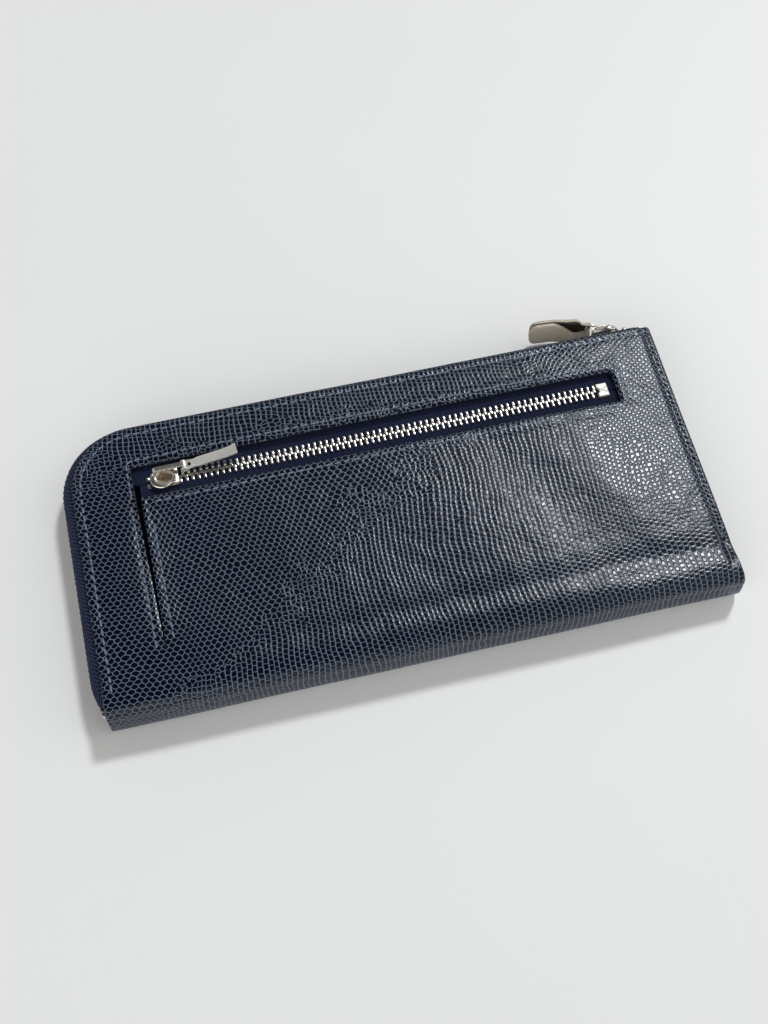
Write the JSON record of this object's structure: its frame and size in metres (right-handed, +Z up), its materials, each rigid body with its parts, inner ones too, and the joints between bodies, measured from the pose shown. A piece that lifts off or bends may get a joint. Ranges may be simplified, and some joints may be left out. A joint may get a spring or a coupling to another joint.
{
  "type": "long wallet",
  "caption": "Long zip-around wallet in navy lizard-embossed leather with an L-shaped metal zip, a leather pull tab and a zipped coin pocket with a slit flap on the front.",
  "frame": {"origin": "middle of the back cover's flat underside, on the surface the wallet lies on", "axes": "+X along the long side towards the closed short side, +Y from the spine towards the long zipped side, +Z up through the front cover"},
  "size_m": [0.1992, 0.1075, 0.0201],
  "materials": {
    "lizard_leather": "glossy embossed scales with matte grey-blue lines between them",
    "smooth_leather": "matte smooth",
    "pull_leather": "matte smooth, dark painted edges",
    "lining": "matte woven",
    "lining_dark": "matte woven",
    "zip_tape": "herringbone weave",
    "nickel": "polished nickel"
  },
  "bodies": {
    "back_cover": {"back_panel": "lizard_leather", "spine": "lizard_leather", "back_lining": "lining", "card_pocket_1": "smooth_leather", "card_pocket_2": "smooth_leather", "card_pocket_3": "smooth_leather", "side_gusset_back_leaf": "smooth_leather", "main_zip_tape_back": "zip_tape", "main_zip_teeth_back": "nickel", "main_zip_top_stop_back": "nickel", "main_zip_bottom_stop": "nickel"},
    "front_cover": {"front_panel": "lizard_leather", "front_card_pocket": "smooth_leather", "front_lining": "lining", "coin_pocket_wall": "lining_dark", "coin_pocket_gusset": "smooth_leather", "side_gusset_front_leaf": "smooth_leather", "main_zip_tape_front": "zip_tape", "main_zip_teeth_front": "nickel", "main_zip_top_stop_front": "nickel", "coin_zip_tape_upper": "zip_tape", "coin_zip_teeth_upper": "nickel", "coin_zip_top_stop_upper": "nickel", "coin_zip_end_stop": "nickel"},
    "coin_flap": {"coin_flap": "lizard_leather", "coin_zip_tape_lower": "zip_tape", "coin_zip_teeth_lower": "nickel", "coin_zip_top_stop_lower": "nickel"},
    "coin_slider": {"coin_slider_body": "nickel", "coin_slider_bridge": "nickel"},
    "coin_pull": {"coin_slider_pull": "nickel"},
    "main_slider": {"main_slider_body": "nickel", "main_slider_bridge": "nickel"},
    "main_ring": {"main_pull_ring": "nickel"},
    "main_tab": {"main_pull_tab": "pull_leather"}
  },
  "joints": [
    {"name": "front_cover_open", "type": "hinge", "parent": "back_cover", "child": "front_cover", "pos_m": [0, -0.0452, 0.0148], "axis": [1, 0, 0], "range_deg": [0, 28]},
    {"name": "coin_flap_open", "type": "hinge", "parent": "front_cover", "child": "coin_flap", "pos_m": [-0.077, -0.031, 0.016], "axis": [0.9608, 0.2773, 0], "range_deg": [0, 25]},
    {"name": "coin_slider_slide", "type": "slide", "parent": "front_cover", "child": "coin_slider", "axis": [1, 0, 0], "range_m": [0, 0.137]},
    {"name": "coin_pull_swing", "type": "hinge", "parent": "coin_slider", "child": "coin_pull", "pos_m": [-0.0618, 0.02895, 0.017], "axis": [0.0872, -0.9962, 0], "range_deg": [0, 120]},
    {"name": "main_slider_slide", "type": "slide", "parent": "back_cover", "child": "main_slider", "axis": [-1, 0, 0], "range_m": [0, 0.156]},
    {"name": "main_ring_swing", "type": "hinge", "parent": "main_slider", "child": "main_ring", "pos_m": [0.0823, 0.05385, 0.008], "axis": [0, 0, -1], "range_deg": [0, 90]},
    {"name": "main_tab_swing", "type": "hinge", "parent": "main_ring", "child": "main_tab", "pos_m": [0.07892, 0.05508, 0.008], "axis": [0, 0, -1], "range_deg": [-15, 60]}
  ],
  "couplings": [
    {"joint": "coin_slider_slide", "follows": "coin_flap_open", "m_per_rad": 0.31169},
    {"joint": "main_slider_slide", "follows": "front_cover_open", "m_per_rad": 0.31717}
  ]
}
